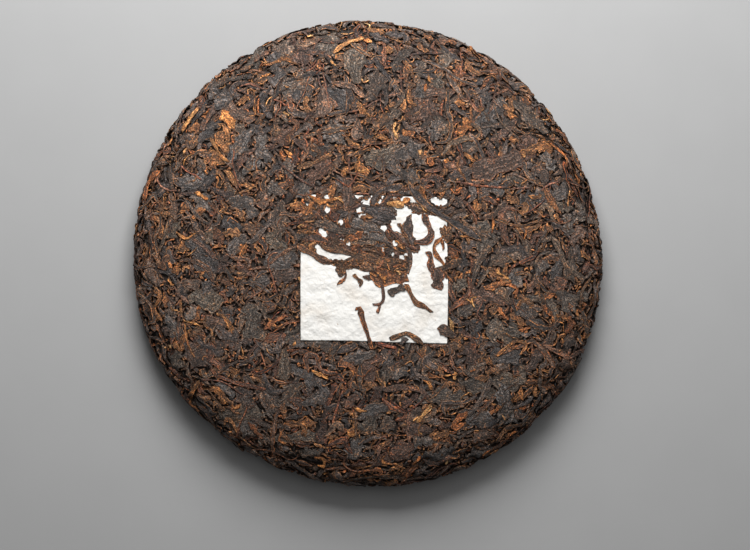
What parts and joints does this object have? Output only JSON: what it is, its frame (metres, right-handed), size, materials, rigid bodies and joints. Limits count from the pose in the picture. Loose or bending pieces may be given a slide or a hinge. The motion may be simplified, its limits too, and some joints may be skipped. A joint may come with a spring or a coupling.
{
  "type": "pu-erh tea cake",
  "caption": "Round, slightly domed cake of pressed dark fermented tea leaves, with a square paper ticket half buried in its front and a knot dimple in its back.",
  "frame": {"origin": "centre of the cake's box, in the plane that its back rests on", "axes": "+Z through the thickness, out of the front face; +Y towards the top of the paper ticket; +X to its right"},
  "size_m": [0.1964, 0.1956, 0.0251],
  "materials": {
    "pressed_tea": "matte, with a faint sheen on the leaves",
    "ticket_paper": "matte"
  },
  "bodies": {
    "root": {"cake": "pressed_tea", "ticket": "ticket_paper"}
  },
  "joints": []
}
